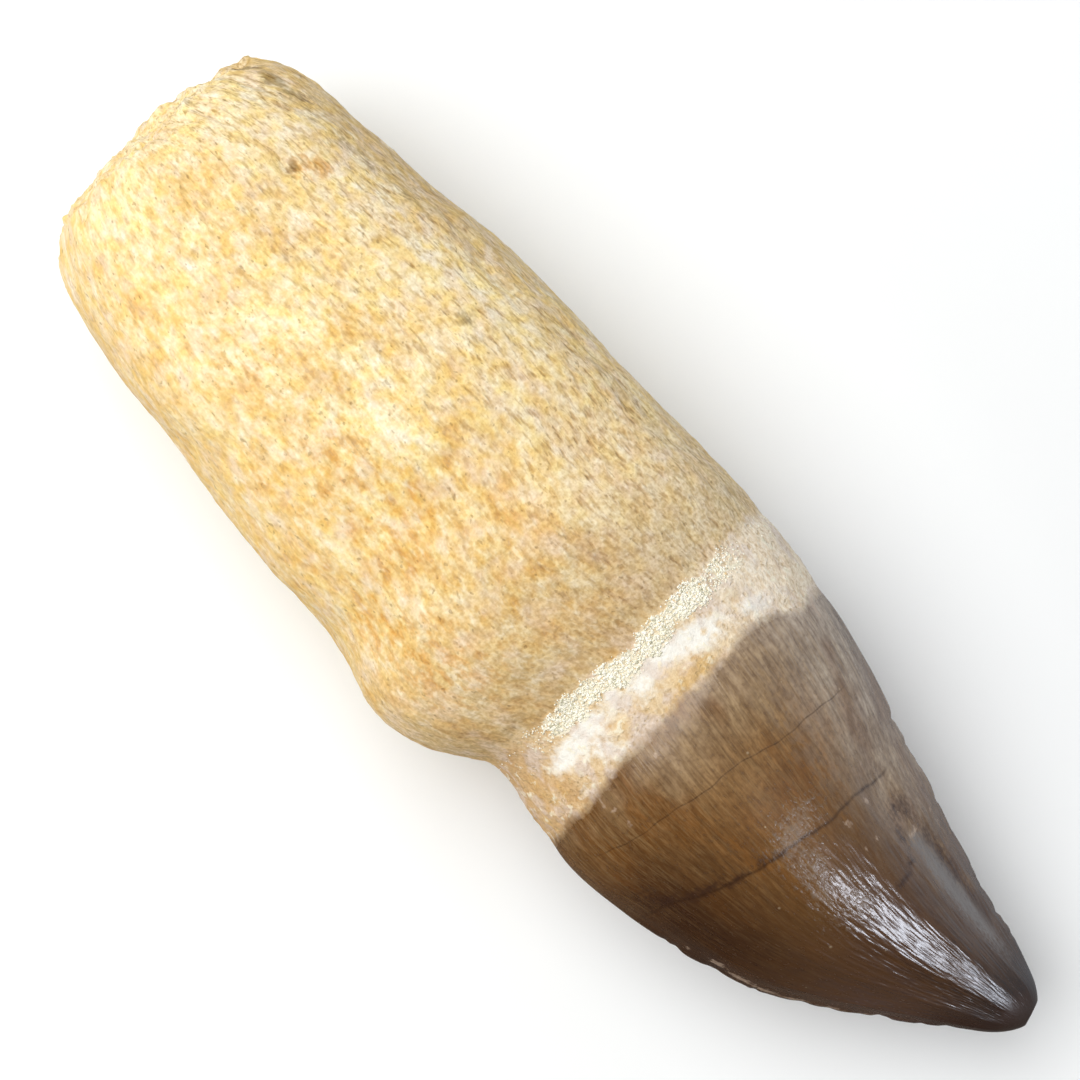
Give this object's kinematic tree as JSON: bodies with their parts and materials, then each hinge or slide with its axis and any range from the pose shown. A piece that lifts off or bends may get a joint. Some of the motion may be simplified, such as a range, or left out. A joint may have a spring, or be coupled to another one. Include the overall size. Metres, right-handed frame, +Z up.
{
  "type": "fossil mosasaur tooth",
  "caption": "Fossil mosasaur tooth lying on its side: a barrel-shaped sandy root, a narrow chalky neck and a glossy dark brown enamel crown that ends in a worn tip.",
  "frame": {"origin": "centre of the bounding box in X and Y, on the surface that the tooth rests on", "axes": "+X from the root's broken end to the crown's tip, +Y the side that the crown leans to, +Z up"},
  "size_m": [0.136, 0.045, 0.0379],
  "materials": {
    "fossil": "mineralised bone: matt sandy root with fine lengthwise pits, chalky neck with a gritty band, glossy brown enamel crown"
  },
  "bodies": {
    "root": {"tooth": "fossil"}
  },
  "joints": []
}
